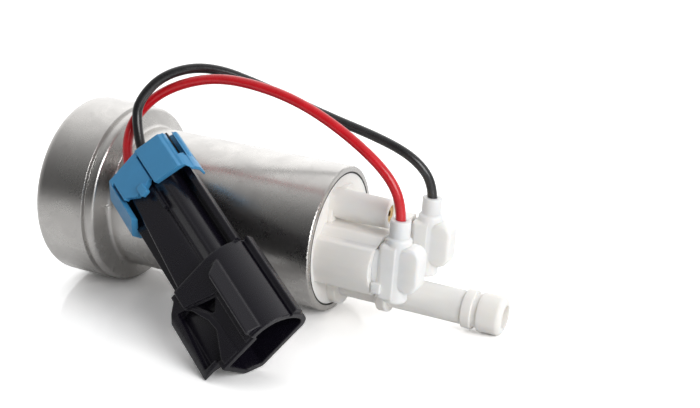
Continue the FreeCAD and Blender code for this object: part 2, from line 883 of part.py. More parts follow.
def build_valves():
    seat = check_seat_start
    nose = size("check_seat_radius")
    head_end = seat + size("check_head_thickness")
    cage_start = head_end + size("seat_gap") + size("check_spring_length") + size("seat_gap")
    cage_end = cage_start + size("cage_thickness")
    turned("check_poppet", [
        (seat - 0.8, 0),
        (seat - 0.8, nose - 0.8),
        (seat + 0.1 + (size("check_head") - nose), size("check_head")),
        (head_end, size("check_head")),
        (head_end, size("check_stem")),
        (cage_end + 0.6, size("check_stem")),
        (cage_end + 0.6, 0),
    ], height=-size("outlet_offset"))
    sleeve("check_spring", head_end + size("seat_gap"), cage_start - size("seat_gap"),
           size("check_stem") + 0.3, size("check_stem") + 1.0, height=-size("outlet_offset"))
    cage = pump_body("check_cage")
    hub = size("check_stem") + size("brush_gap")
    rim = size("outlet_bore") - size("end_gap")
    ring = turn(cage, "cage_ring", [
        (cage_start, hub),
        (cage_start, rim),
        (cage_end, rim),
        (cage_end, hub),
    ], height=-size("outlet_offset"))
    middle = (hub + rim) / 2
    hole = bore(cage, "cage_hole", cage_start - 1, cage_end + 1, (rim - hub) * 0.32,
                height=middle - size("outlet_offset"))
    repeat_round(cage, hole, "cage_holes", 4, axis=(ring.Profile[0], ["H_Axis"]))

    ball = size("relief_ball_radius")
    lift = (number(ball) ** 2 - SIZES["relief_seat_radius"] ** 2) ** 0.5
    centre = relief_seat_start + lift + 0.03
    side = -size("post_side")
    height = size("post_place")
    body = pump_body("relief_ball")
    sketch = new_sketch(body, "ball_sketch", "XZ_Plane", lift=-side, shift_y=height)
    add_half_disc(sketch, centre, ball)
    feature = body.newObject("PartDesign::Revolution", "ball_turn")
    feature.Profile = sketch
    feature.ReferenceAxis = (sketch, ["H_Axis"])
    feature.Angle = 360
    spring_start = centre + ball + size("seat_gap")
    spring_end = spring_start + size("relief_spring_length")
    sleeve("relief_spring", spring_start, spring_end, 1.2, 1.9, side, height)
    cap_rim = size("relief_bore") - size("end_gap")
    sleeve("relief_cap", spring_end + size("seat_gap"), post_end - 0.6,
           0.8, cap_rim, side, height)


def add_half_disc(sketch, centre, radius):
    """A half disc standing on the sketch's horizontal axis."""
    middle = FreeCAD.Vector(number(centre), 0, 0)
    across = FreeCAD.Vector(number(radius), 0, 0)
    circle = Part.Circle(middle, FreeCAD.Vector(0, 0, 1), number(radius))
    arc = sketch.addGeometry(Part.ArcOfCircle(circle, 0, math.pi), False)
    base = sketch.addGeometry(Part.LineSegment(middle - across, middle + across), False)
    sketch.addConstraint(Sketcher.Constraint("Coincident", arc, 2, base, 1))
    sketch.addConstraint(Sketcher.Constraint("Coincident", arc, 1, base, 2))
    sketch.addConstraint(Sketcher.Constraint("PointOnObject", arc, 3, -1))
    sketch.addConstraint(Sketcher.Constraint("PointOnObject", base, 1, -1))
    index = sketch.addConstraint(
        Sketcher.Constraint("DistanceX", -1, 1, arc, 3, number(centre)))
    bind(sketch, "Constraints[%d]" % index, centre)
    set_radius(sketch, arc, radius)


# Plugs on the terminals

def round_edges(body, name, radius, chosen):
    """Rounds those edges of the newest feature whose middle point the test picks."""
    doc.recompute()
    base = body.Tip
    picked = []
    for index, edge in enumerate(base.Shape.Edges, start=1):
        middle = edge.valueAt((edge.FirstParameter + edge.LastParameter) / 2)
        if chosen(middle):
            picked.append("Edge%d" % index)
    feature = body.newObject("PartDesign::Fillet", name)
    feature.Base = (base, picked)
    bind(feature, "Radius", radius)
    return feature


def build_plug(colour, sign):
    middle = plug_side * sign
    half = size("plug_width") / 2
    start = plug_start
    top = size("plug_top")
    bottom = -size("plug_bottom")
    shoulder = size("plug_shoulder")
    body = pump_body(colour + "_plug")
    # soft tongue in front of the barrel
    tongue_side = middle - size("tongue_width") / 2
    reach = wire_place + size("tongue_reach")
    pad(body, colour + "_tongue", "XZ_Plane", -tongue_side, size("tongue_width"), [
        (wire_place + 0.8, -size("tongue_bottom"), size("tongue_round")),
        (reach, -size("tongue_bottom"), size("tongue_round")),
        (reach, size("tongue_top"), size("tongue_round")),
        (wire_place + 0.8, size("tongue_top"), size("tongue_round")),
    ], against=True)
    sides = [number(middle) + number(size("tongue_width")) / 2 * way for way in (-1, 1)]
    round_edges(body, colour + "_tongue_round", 0.9, lambda point: (
        min(abs(point.y - side) for side in sides) < 0.01))
    # back block with rounded shoulders, facing the tower
    pad(body, colour + "_plug_block", "XY_Plane", bottom + 1.2, shoulder - bottom - 1.2, [
        (start, middle - half, 1.4),
        (wire_place + 0.6, middle - half),
        (wire_place + 0.6, middle + half),
        (start, middle + half, 1.4),
    ])
    block_top = number(shoulder)
    block_bottom = number(bottom + 1.2)
    round_edges(body, colour + "_shoulder_round", 1.1, lambda point: (
        point.z > block_top - 0.01 and point.x < number(wire_place)))
    # round barrel below the lead's collar
    pad(body, colour + "_plug_barrel", "XY_Plane", bottom, top - bottom,
        circles=[(wire_place, middle, size("plug_barrel"))])
    ends = (number(bottom), number(top))
    round_edges(body, colour + "_barrel_round", 0.9, lambda point: (
        min(abs(point.z - level) for level in ends) < 0.01))
    # nose that fills the tower's socket, and the catch beside it
    nose_half = (socket_outer - plug_side) - 0.1
    pad(body, colour + "_plug_nose", "XY_Plane", -5.4, 10.1,
        box_corners(start - 4.0, start + 1.0, middle - nose_half, middle + nose_half, 0.4))
    catch_side = middle + (half + 0.8) * sign
    pad(body, colour + "_catch", "XY_Plane", -6.2, 2.6,
        box_corners(start - 0.8, start + 1.6, middle + (half - 1.0) * sign, catch_side))
    pad(body, colour + "_plug_entry", "XY_Plane", top - 1.0, size("entry_height") + 1.0,
        circles=[(wire_place, middle, size("entry_radius"))])
    # room for the contact, and the wire's hole down to it
    sleeve_top = size("blade_width") / 2 + 0.6
    pocket(body, colour + "_contact_room", "XY_Plane", sleeve_top, sleeve_top * 2,
           box_corners(start - 5.0, contact_front + 0.2, middle - 1.5, middle + 1.5))
    pocket(body, colour + "_crimp_room", "XY_Plane", size("wire_start"),
           size("wire_start"), circles=[(wire_place, middle, size("crimp_radius"))])
    wire_hole = size("wire_radius") + size("end_gap")
    pocket(body, colour + "_wire_hole", "XY_Plane", top + size("entry_height") + 1,
           top + size("entry_height") + 1 - size("wire_start") + 0.5,
           circles=[(wire_place, middle, wire_hole)])

    contact = pump_body(colour + "_contact")
    shell = sleeve_top - 0.1
    pad(contact, colour + "_receptacle", "XY_Plane", -shell, shell * 2,
        box_corners(start - 3.4, contact_front, middle - 1.3, middle + 1.3))
    slot_half = size("blade_thickness") / 2 + size("end_gap")
    slot_top = size("blade_width") / 2 + size("end_gap")
    pocket(contact, colour + "_blade_slot", "XY_Plane", slot_top, slot_top * 2,
           box_corners(start - 4.4, contact_front - 0.5, middle - slot_half, middle + slot_half))
    pad(contact, colour + "_crimp", "XY_Plane", shell - 0.2,
        size("wire_start") - size("end_gap") - shell + 0.2,
        circles=[(wire_place, middle, size("wire_radius"))])


# Connector

def build_housing():
    width = size("shroud_width")
    thick = size("shroud_thickness")
    length = size("shroud_length")
    wall = size("shroud_wall")
    cut = size("shroud_cut")
    rear_end = length + size("rear_length")
    right = size("rear_right")
    side_top = size("rear_slant") - size("rear_left")
    body = connector_body("connector_housing")
    # rear body: a flat left lobe over a slanted side, a round right lobe and the side rail
    pad(body, "rear_body", "XY_Plane", -rear_end, size("rear_length") + 1, [
        (-size("rear_left"), 0.4 - thick, 1.6),
        (right, 0.4 - thick, 1.6),
        (right, -8.0),
        (right + size("rail_reach"), -8.0, 0.3),
        (right + size("rail_reach"), -6.1, 0.3),
        (right, -6.1),
        (right, -size("lobe_top"), 4.0),
        (10.7, -size("lobe_top"), 2.0),
        (9.6, -size("rear_top") - 0.9, 0.5),
        (8.5, -size("rear_top"), 0.8),
        (side_top, -size("rear_top"), 0.8),
        (-size("rear_left"), -size("rear_top") - size("rear_slant"), 0.8),
    ])
    # shroud: flat on the left, well rounded on the right
    pad(body, "shroud", "XY_Plane", -length, length, [
        (0, 0, 0.4),
        (width, 0, size("shroud_round")),
        (width, -thick, 3.4),
        (cut, -thick, 1.4),
        (0, cut - thick, 1.4),
    ])
    # rail outside the shroud's round side, with a groove above it
    pad(body, "shroud_rail", "XY_Plane", -length, length - 0.3, [
        (width - 1.4, -6.2),
        (width + size("shroud_rail"), -6.2, 0.3),
        (width + size("shroud_rail"), -8.6, 0.3),
        (width - 1.4, -8.6),
    ])
    pocket(body, "rail_groove", "XY_Plane", 0.5, length,
           box_corners(width - 1.3, width + 2, -6.1, -5.3))
    # front left of the top face lies lower, behind a slanted step
    recess = size("recess_depth")
    pocket(body, "recess", "XZ_Plane", -0.1, recess + 0.1, [
        (-2.0, -19.9),
        (2.6, -18.2),
        (8.6, -15.7),
        (11.0, -15.7),
        (11.0, 0.5),
        (-2.0, 0.5),
    ], along=True)
    pad(body, "ridge", "XZ_Plane", recess + 0.1, 0.6, [
        (1.4, -17.2),
        (2.0, -17.8),
        (5.1, -12.9),
        (5.9, -8.5),
        (5.9, -0.6),
        (1.4, -0.6),
        (1.4, -2.2),
        (4.3, -8.4),
        (3.8, -11.9),
    ], against=True)
    # wedge that the mating half latches over, on a low ledge
    pad(body, "latch_ramp", "XY_Plane", -21.8, 21.2, [
        (8.8, -1.2),
        (14.6, -1.2),
        (14.2, 0.0),
        (11.6, 2.1, 0.3),
        (11.0, 1.7),
        (10.7, -0.4),
        (8.8, -0.6),
    ])
    pocket(body, "ramp_end", "XZ_Plane", -3.0, 2.99, [
        (8.0, -22.5),
        (14.6, -22.5),
        (11.0, -18.5),
        (8.0, -19.6),
    ], along=True)
    # guard wing beside the shroud: a bar with a slanted top, two bridges and a floor
    wing = size("wing_reach")
    inner = wing - size("wing_thickness")
    top = -size("wing_top")
    bottom = -size("wing_bottom")
    floor_top = bottom + 1.0
    pad(body, "wing_block", "XY_Plane", -23.0, 21.0, [
        (-wing, top - 0.8, 0.3),
        (-inner, top),
        (0.6, top),
        (0.6, bottom),
        (-wing + 0.9, bottom, 0.8),
    ])
    pocket(body, "wing_taper", "XZ_Plane", -1.0, 12.0, [
        (-wing - 1.0, -24.0),
        (-0.5, -24.0),
        (-wing - 1.0, -18.4),
    ], along=True)
    pocket(body, "wing_room", "XZ_Plane", -1.0, 3.6, [
        (-2.4, -19.8),
        (0, -18.9),
        (0, -3.2),
        (-inner, -3.2),
    ], along=True)
    pocket(body, "wing_well", "YZ_Plane", 0, 2.4, [
        (-2.0, -18.9),
        (floor_top, -18.9),
        (floor_top, -8.6),
        (-2.6, -3.4),
        (-2.0, -3.4),
    ])
    pocket(body, "ridge_room", "XZ_Plane", -1.0, size("socket_roof"), [
        (-0.2, -18.8),
        (1.4, -17.2),
        (3.8, -11.9),
        (4.3, -8.4),
        (1.4, -2.2),
        (-0.2, -2.2),
    ], along=True)
    pocket(body, "latch_room", "XZ_Plane", -1.0, size("socket_roof") - 0.4, [
        (2.9, -17.5),
        (8.4, -15.3),
        (6.3, -12.6),
        (5.4, -12.9),
    ], along=True)
    # the wing's underside rises to its front end, just clear of the surface
    pocket(body, "wing_slope", "YZ_Plane", -0.05, wing + 1, [
        (0.8, 0.5),
        (bottom - 1.0, 0.5),
        (bottom - 1.0, -8.9),
    ])
    pad(body, "rear_block", "XY_Plane", -length, 3.0, [
        (-2.0, top, 0.8),
        (0.8, top),
        (0.8, bottom),
        (-2.0, bottom),
    ])
    pad(body, "key_rib", "XY_Plane", -50.0, 5.6,
        box_corners(9.5, 10.2, -3.0, -1.0))
    # socket, with a roof that lies lower on the left, and its wider mouth
    bevel = math.tan(math.pi / 8)
    pocket(body, "socket", "XY_Plane", 1, size("shroud_depth") + 1, [
        (wall, -size("socket_roof"), 0.3),
        (9.4, -size("socket_roof")),
        (11.4, -wall),
        (width - wall, -wall, size("shroud_round") - wall),
        (width - wall, wall - thick, 2.1),
        (cut + wall * bevel, wall - thick, 0.5),
        (wall, cut - thick + wall * bevel, 0.5),
    ])
    pocket(body, "mouth", "XY_Plane", 1, 2.6, [
        (wall, -size("socket_roof") - 1),
        (wall, -2.2, 0.3),
        (11.0, -2.2),
        (13.0, -size("socket_roof") - 1),
    ])
    # wire cavities
    depth = -size("cavity_depth")
    places = [(size("cavity_left") + size("cavity_spacing") * turn_index, depth)
              for turn_index in range(2)]
    seal_end = size("seal_length") + 0.6
    pocket(body, "seal_bores", "XY_Plane", -rear_end - 1, seal_end + 1,
           circles=[(x, y, size("seal_radius") + size("end_gap")) for x, y in places], along=True)
    pocket(body, "blade_bores", "XY_Plane", -rear_end, rear_end - size("shroud_depth") + 1,
           circles=[(x, y, size("cavity_radius")) for x, y in places], along=True)
    return rear_end, places


def build_seals_and_blades(rear_end, places):
    seals = connector_body("wire_seals")
    hole = size("wire_radius") + size("end_gap")
    start = -rear_end + 0.5
    circles = []
    for x, y in places:
        circles += [(x, y, size("seal_radius")), (x, y, hole)]
    pad(seals, "seal_pair", "XY_Plane", start, size("seal_length"), circles=circles)

    # blades: a crimped rear end on the wire, a square mid part and a flat tip in the socket
    blades = connector_body("connector_blades")
    crimp_start = -rear_end + 3.3 + size("end_gap")
    pad(blades, "crimps", "XY_Plane", crimp_start, 14.0,
        circles=[(x, y, size("wire_radius")) for x, y in places])
    for index, (x, y) in enumerate(places):
        pad(blades, "blade_%d" % index, "XY_Plane", crimp_start + 13.0,
            rear_end - 3.3 - 13.0 - 4.0, box_corners(x - 1.3, x + 1.3, y - 0.4, y + 0.4))


def build_lock(rear_end):
    gap = size("lock_gap")
    wall = size("lock_wall")
    bevel = math.tan(math.pi / 8)
    side_top = size("rear_slant") - size("rear_left")
    side_low = -size("rear_top") - size("rear_slant")
    left_inner = -size("rear_left") - gap
    left_outer = left_inner - wall
    right_inner = size("rear_right") + size("rail_reach") + gap
    right_outer = right_inner + wall * 0.8
    flat_inner = -size("rear_top") + gap
    lobe_inner = -size("lobe_top") + gap
    left_foot = -8.8
    right_foot = -7.0
    body = connector_body("connector_lock")
    pad(body, "clip", "XY_Plane", -rear_end - 0.2, size("lock_length"), [
        (left_outer, left_foot, 0.4),
        (left_outer, side_low + (gap + wall) * bevel, 0.8),
        (side_top - (gap + wall) * bevel, flat_inner + wall, 0.8),
        (11.5, flat_inner + wall),
        (11.9, lobe_inner + wall),
        (right_outer, lobe_inner + wall, 4.6),
        (right_outer, right_foot, 0.4),
        (right_inner, right_foot),
        (right_inner, lobe_inner, 3.4),
        (10.4, lobe_inner),
        (9.9, flat_inner),
        (side_top - gap * bevel, flat_inner),
        (left_inner, side_low + gap * bevel),
        (left_inner, left_foot),
    ])
    # front edge: a short left leg, the stepped left panel, the right panel and the hook
    rear = -rear_end - 0.2
    front = size("lock_length") + rear
    panel_top = flat_inner + wall
    slot_left = side_top - 1.0
    slot_right = side_top
    pocket(body, "leg_front", "XZ_Plane", -3.0, 3.0 - left_foot + 1.0,
           box_corners(left_outer - 1, slot_right, front - 2.4, front + 1), along=True)
    pocket(body, "front_steps", "XZ_Plane", -3.0, 4.9, [
        (slot_left, front + 1),
        (slot_left, front - 7.5),
        (2.6, front - 7.7),
        (5.2, front - 5.5),
        (7.6, front - 5.3),
        (11.0, front - 6.3),
        (11.8, front - 6.3),
        (11.8, front - 4.0),
        (18.4, front - 1.6),
        (20.0, front - 0.2),
        (20.0, front + 1),
    ], along=True)
    pad(body, "latch_tab", "XZ_Plane", 0.6 - panel_top, 1.3,
        box_corners(6.8, 9.0, front - 6.8, front - 3.6, 0.5), against=True)
    # slots beside the panels and the window in the right shoulder
    pocket(body, "middle_slot", "XZ_Plane", -3.0, 4.9,
           box_corners(11.1, 11.8, rear + 1.4, front + 1), along=True)
    pocket(body, "left_slot", "XZ_Plane", -3.0, 6.2,
           box_corners(slot_left, slot_right, rear + 1.6, front + 1), along=True)
    pocket(body, "window", "XZ_Plane", -3.0, 7.6,
           box_corners(18.4, right_inner + 0.5, rear - 1.0, rear + 10.2), along=True)


# Leads

def rounded_path(points):
    """Straight runs joined by tangent arcs as large as the two runs allow."""
    edges = []
    length = 0.0
    radii = []
    last = points[0]
    for index in range(1, len(points) - 1):
        before = points[index - 1] - points[index]
        after = points[index + 1] - points[index]
        shorter = min(before.Length, after.Length)
        trim = 0.45 * shorter
        turn_angle = math.pi - before.getAngle(after)
        radius = trim / math.tan(turn_angle / 2)
        back = before.normalize()
        ahead = after.normalize()
        first = points[index] + back * trim
        end = points[index] + ahead * trim
        to_middle = (back + ahead).normalize()
        middle = points[index] + to_middle * (radius / math.cos(turn_angle / 2) - radius)
        edges.append(Part.LineSegment(last, first).toShape())
        edges.append(Part.Arc(first, middle, end).toShape())
        length += (first - last).Length + radius * turn_angle
        radii.append(radius)
        last = end
    edges.append(Part.LineSegment(last, points[-1]).toShape())
    length += (points[-1] - last).Length
    return Part.Wire(edges), length, radii


def build_lead(name, points, start_direction):
    radius = SIZES["wire_radius"]
    path, length, radii = rounded_path(points)
    ring = Part.Wire([Part.Circle(points[0], start_direction, radius).toShape()])
    tube = path.makePipeShell([ring], True, False)
    share = tube.Volume / (math.pi * radius ** 2 * length)
    print(name, "length %.1f" % length, "smallest radius %.1f" % min(radii),
          "volume share %.4f" % share)
    feature = doc.addObject("Part::Feature", name)
    feature.Label = name
    feature.Shape = tube
    return feature


# Places

def pump_placement():
    """The pump rests on the front edge of its collar and the end of its outlet."""
    bead_fall = number(size("collar_radius") - size("bead_drop") - size("barrel_radius"))
    bead_turn = math.atan2(bead_fall, SIZES["shoulder_run"])
    bead_x = SIZES["shoulder_start"] - SIZES["bead_round"] * math.tan(bead_turn / 2)
    bead_z = -number(size("collar_radius") - size("bead_drop") - size("bead_round"))
    tip_x = number(outlet_end - size("barb_round"))
    tip_z = -number(size("outlet_offset") + size("barb_radius") - size("barb_round"))
    span = math.hypot(tip_x - bead_x, tip_z - bead_z)
    rise = math.atan2(tip_z - bead_z, tip_x - bead_x)
    drop = math.asin((SIZES["barb_round"] - SIZES["bead_round"]) / span)
    tilt = rise - drop
    height = SIZES["bead_round"] + bead_x * math.sin(tilt) - bead_z * math.cos(tilt)
    port_x = number(cover_back - size("port_length"))
    low_x = port_x * math.cos(tilt) - SIZES["port_radius"] * math.sin(tilt)
    end_round = SIZES["barb_round"]
    top_z = -SIZES["outlet_offset"] + SIZES["barb_radius"] - end_round
    high_x = tip_x * math.cos(tilt) + top_z * math.sin(tilt) + end_round
    base = FreeCAD.Vector(-(low_x + high_x) / 2, 0, height)
    rotation = FreeCAD.Rotation(FreeCAD.Vector(0, 1, 0), math.degrees(tilt))
    return FreeCAD.Placement(base, rotation)


def connector_placement(housing):
    """The connector leans beside the can, with its lowest point just on the surface."""
    rotation = FreeCAD.Rotation(SIZES["connector_yaw"], SIZES["connector_pitch"],
                                SIZES["connector_roll"])
    turned_shape = housing.Shape.copy()
    turned_shape.Placement = FreeCAD.Placement(FreeCAD.Vector(), rotation)
    lowest = turned_shape.optimalBoundingBox(False, False).ZMin
    base = FreeCAD.Vector(SIZES["connector_x"], SIZES["connector_y"], 0.05 - lowest)
    return FreeCAD.Placement(base, rotation)


# Build

build_can()
build_inlet_cover()
build_impeller()
build_pressure_plate()
build_rotor()
build_field()
build_outlet_cover()
for side_name, sign in (("front", -1), ("rear", 1)):
    build_brush_set(side_name, sign)
build_valves()
for colour, sign in (("red", -1), ("black", 1)):
    build_plug(colour, sign)
rear_end, cavity_places = build_housing()
build_seals_and_blades(rear_end, cavity_places)
build_lock(rear_end)

doc.recompute()
pump_place = pump_placement()
connector_place = connector_placement(connector_nodes[0])
print("pump", pump_place, "connector", connector_place)
for body in pump_nodes:
    body.Placement = pump_place
for body in connector_nodes:
    body.Placement = connector_place
doc.recompute()

# free stretch of each lead, chosen by hand between its plug and its seal
RED_ROUTE = [
    (37.4, -11.4, 42.8),
    (27.0, -11.5, 50.5),
    (13.5, -12.0, 57.5),
    (-1.0, -12.0, 62.0),
    (-14.5, -12.0, 61.5),
    (-25.0, -12.0, 56.5),
    (-32.6, -14.0, 51.5),
    (-34.9, -18.2, 45.2),
]
BLACK_ROUTE = [
    (38.4, 10.4, 42.2),
    (28.5, 9.5, 46.0),
    (13.5, 6.0, 51.5),
    (-1.0, 0.5, 59.0),
    (-14.5, -6.5, 64.0),
    (-24.5, -13.0, 62.5),
    (-30.2, -17.4, 55.5),
    (-31.2, -19.2, 49.2),
]
wire_nodes = []
for name, sign, route, rise, reach, place in (
        ("red_wire", -1, RED_ROUTE, 5.8, 7.0, cavity_places[0]),
        ("black_wire", 1, BLACK_ROUTE, 5.6, 6.4, cavity_places[1])):
    plug_end = FreeCAD.Vector(number(wire_place), number(plug_side) * sign, SIZES["wire_start"])
    seal_end = FreeCAD.Vector(number(place[0]), number(place[1]), 3.3 - number(rear_end))
    upward = FreeCAD.Vector(0, 0, 1)
    points = [pump_place.multVec(plug_end), pump_place.multVec(plug_end + upward * rise)]
    points += [FreeCAD.Vector(*spot) for spot in route]
    points += [connector_place.multVec(seal_end - upward * reach)]
    points += [connector_place.multVec(seal_end)]
    print(name, "points", [tuple(round(value, 2) for value in point) for point in points])
    wire_nodes.append(build_lead(name, points, pump_place.Rotation.multVec(upward)))

# Checks and files

nodes = pump_nodes + connector_nodes + wire_nodes
for item in doc.Objects:
    if "Invalid" in item.State or "Error" in item.State:
        raise RuntimeError("failed: " + item.Name + " " + str(item.State))
    if item.TypeId in ("PartDesign::Pocket", "PartDesign::Groove"):
        if item.Shape.Volume > item.BaseFeature.Shape.Volume - 0.01:
            raise RuntimeError("cuts nothing: " + item.Name)
for node in nodes:
    if node.Shape.isNull() or not node.Shape.isValid():
        raise RuntimeError("bad shape: " + node.Label)
os.makedirs("parts", exist_ok=True)
for node in nodes:
    node.Shape.exportStep("parts/" + node.Label + ".step")
print(len(nodes), "nodes written")
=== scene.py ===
import json
import math

import bmesh
import bpy
from mathutils import Matrix, Vector


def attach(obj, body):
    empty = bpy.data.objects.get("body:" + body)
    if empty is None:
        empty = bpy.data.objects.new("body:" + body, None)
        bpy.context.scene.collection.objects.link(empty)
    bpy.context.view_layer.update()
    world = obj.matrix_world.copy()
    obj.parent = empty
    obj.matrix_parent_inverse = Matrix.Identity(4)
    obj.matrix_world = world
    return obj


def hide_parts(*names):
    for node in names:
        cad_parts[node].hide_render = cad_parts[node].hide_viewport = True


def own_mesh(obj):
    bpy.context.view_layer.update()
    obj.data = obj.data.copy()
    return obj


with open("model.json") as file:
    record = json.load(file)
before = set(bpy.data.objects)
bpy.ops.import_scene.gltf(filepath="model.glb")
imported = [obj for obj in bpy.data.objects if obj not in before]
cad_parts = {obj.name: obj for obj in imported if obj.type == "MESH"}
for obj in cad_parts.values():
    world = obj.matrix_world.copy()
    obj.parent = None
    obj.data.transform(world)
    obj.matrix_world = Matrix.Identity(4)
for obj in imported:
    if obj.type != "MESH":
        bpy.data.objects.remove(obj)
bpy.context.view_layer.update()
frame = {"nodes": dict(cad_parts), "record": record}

scene = bpy.context.scene

# Places, in metres. Pump frame: X along the can from the inlet face, Z up in the pump.
TILT = math.radians(4.68588)
PUMP = Matrix.Translation((-0.0602362, 0, 0.0260944)) @ Matrix.Rotation(TILT, 4, "Y")

# Connector frame: X across its broad face, Y out of that face, Z from the rear to the mouth.
ACROSS = Vector((0.629861, 0.233746, 0.740711))
OUT = Vector((-0.185472, -0.880817, 0.435703))
AHEAD = Vector((0.754267, -0.411802, -0.511425))
CONNECTOR = Matrix((
    (ACROSS.x, OUT.x, AHEAD.x, 0.01523),
    (ACROSS.y, OUT.y, AHEAD.y, -0.05584),
    (ACROSS.z, OUT.z, AHEAD.z, 0.00412877),
    (0, 0, 0, 1),
))


# Camera, fitted to the photograph: lens in millimetres, places in metres

CAMERA_LENS = 61.72
CAMERA_TARGET = Vector((0.01139, 0.02438, 0.02147))
CAMERA_SIDE = Vector((0.3964, -0.8730, 0.2842)).normalized()
CAMERA_DISTANCE = 0.34039


def add_camera():
    data = bpy.data.cameras.new("camera")
    data.sensor_fit = "HORIZONTAL"
    data.sensor_width = 36
    data.lens = CAMERA_LENS
    data.clip_start = 0.01
    data.clip_end = 20
    camera = bpy.data.objects.new("camera", data)
    scene.collection.objects.link(camera)
    camera.location = CAMERA_TARGET + CAMERA_SIDE * CAMERA_DISTANCE
    camera.rotation_euler = (-CAMERA_SIDE).to_track_quat("-Z", "Y").to_euler()
    scene.camera = camera


add_camera()


# Leads, from their plug to their end inside the connector

RED_ROUTE = [
    (0.04108, -0.011, 0.02822),
    (0.04155, -0.011, 0.03401),
    (0.038, -0.0114, 0.042),
    (0.0268, -0.0114, 0.051),
    (0.0134, -0.0118, 0.0584),
    (-0.0011, -0.0121, 0.062),
    (-0.0134, -0.0114, 0.0618),
    (-0.0259, -0.0121, 0.0576),
    (-0.033, -0.0144, 0.0508),
    (-0.0338, -0.0178, 0.0448),
    (-0.03061, -0.02209, 0.0384),
    (-0.02533, -0.02497, 0.03482),
    (-0.02344, -0.026, 0.03354),
]
BLACK_ROUTE = [
    (0.04108, 0.011, 0.02822),
    (0.04153, 0.011, 0.03381),
    (0.0372, 0.0094, 0.0407),
    (0.028, 0.009, 0.0452),
    (0.0132, 0.0056, 0.0508),
    (-0.0013, 0.0001, 0.0581),
    (-0.0146, -0.0065, 0.0642),
    (-0.0244, -0.013, 0.0624),
    (-0.03, -0.0173, 0.0554),
    (-0.0299, -0.0185, 0.0494),
    (-0.02676, -0.02108, 0.04209),
    (-0.02193, -0.02371, 0.03882),
    (-0.02004, -0.02474, 0.03754),
]
LEAD_RADIUS = 0.0013


def add_lead(name, node, route):
    """A round NURBS lead along a route, in place of its CAD node."""
    data = bpy.data.curves.new(name, "CURVE")
    data.dimensions = "3D"
    spline = data.splines.new("NURBS")
    spline.points.add(len(route) - 1)
    for point, place in zip(spline.points, route):
        point.co = (*place, 1)
        point.radius = LEAD_RADIUS
    spline.order_u = 3
    spline.use_endpoint_u = True
    spline.resolution_u = 12
    data.resolution_u = 12
    # the points carry the radius, so the bevel has a depth of one
    data.bevel_depth = 1
    data.bevel_resolution = 8
    data.use_fill_caps = True
    lead = bpy.data.objects.new(name, data)
    scene.collection.objects.link(lead)
    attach(lead, "pump")
    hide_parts(node)
    return lead


red_lead = add_lead("red_lead", "red_wire", RED_ROUTE)
black_lead = add_lead("black_lead", "black_wire", BLACK_ROUTE)


# Materials

def new_material(name):
    """A material with a lone shader, given with its node tree and that shader."""
    made = bpy.data.materials.new(name)
    made.use_nodes = True
    tree = made.node_tree
    tree.nodes.clear()
    out = tree.nodes.new("ShaderNodeOutputMaterial")
    shader = tree.nodes.new("ShaderNodeBsdfPrincipled")
    tree.links.new(shader.outputs[0], out.inputs[0])
    return made, tree, shader


def place_of(tree, matrix, stretch=(1, 1, 1)):
    """The surface point in the frame of matrix, in millimetres times stretch."""
    coordinate = tree.nodes.new("ShaderNodeTexCoord")
    back = matrix.inverted()
    local = tree.nodes.new("ShaderNodeMapping")
    local.inputs["Location"].default_value = back.to_translation() * 1000
    local.inputs["Rotation"].default_value = back.to_euler("XYZ")
    local.inputs["Scale"].default_value = (1000, 1000, 1000)
    tree.links.new(coordinate.outputs["Object"], local.inputs["Vector"])
    scaled = tree.nodes.new("ShaderNodeMapping")
    scaled.inputs["Scale"].default_value = stretch
    tree.links.new(local.outputs[0], scaled.inputs["Vector"])
    return scaled.outputs[0]


def noise(tree, place, scale, detail, rough, warp=0):
    """Noise at a place, with scale in waves to the millimetre."""
    node = tree.nodes.new("ShaderNodeTexNoise")
    node.inputs["Scale"].default_value = scale
    node.inputs["Detail"].default_value = detail
    node.inputs["Roughness"].default_value = rough
    node.inputs["Distortion"].default_value = warp
    tree.links.new(place, node.inputs["Vector"])
    return node.outputs[0]


def spread(tree, value, low, high, to_low, to_high):
    """Maps low..high of a value onto to_low..to_high."""
    node = tree.nodes.new("ShaderNodeMapRange")
    for name, amount in (("From Min", low), ("From Max", high),
                         ("To Min", to_low), ("To Max", to_high)):
        node.inputs[name].default_value = amount
    tree.links.new(value, node.inputs["Value"])
    return node.outputs[0]


def blend_colour(tree, share, first, second):
    """Mixes two colours, each a tuple or a socket, by share."""
    node = tree.nodes.new("ShaderNodeMix")
    node.data_type = "RGBA"
    for index, colour in ((6, first), (7, second)):
        if isinstance(colour, tuple):
            node.inputs[index].default_value = (*colour, 1)
        else:
            tree.links.new(colour, node.inputs[index])
    tree.links.new(share, node.inputs[0])
    return node.outputs[2]


def add_values(tree, first, second, operation="ADD"):
    """Joins two values, each a number or a socket, by a sum or another operation."""
    node = tree.nodes.new("ShaderNodeMath")
    node.operation = operation
    for index, value in enumerate((first, second)):
        if isinstance(value, (int, float)):
            node.inputs[index].default_value = value
        else:
            tree.links.new(value, node.inputs[index])
    return node.outputs[0]


def bump(tree, shader, height, distance, strength, under=None, edge=0):
    """Bumps the shader's normal, over another bump and over softened edges."""
    node = tree.nodes.new("ShaderNodeBump")
    node.inputs["Distance"].default_value = distance
    node.inputs["Strength"].default_value = strength
    tree.links.new(height, node.inputs["Height"])
    if under is not None:
        tree.links.new(under, node.inputs["Normal"])
    elif edge:
        round_edge = tree.nodes.new("ShaderNodeBevel")
        round_edge.samples = 6
        round_edge.inputs["Radius"].default_value = edge
        tree.links.new(round_edge.outputs[0], node.inputs["Normal"])
    tree.links.new(node.outputs[0], shader.inputs["Normal"])
    return node.outputs[0]


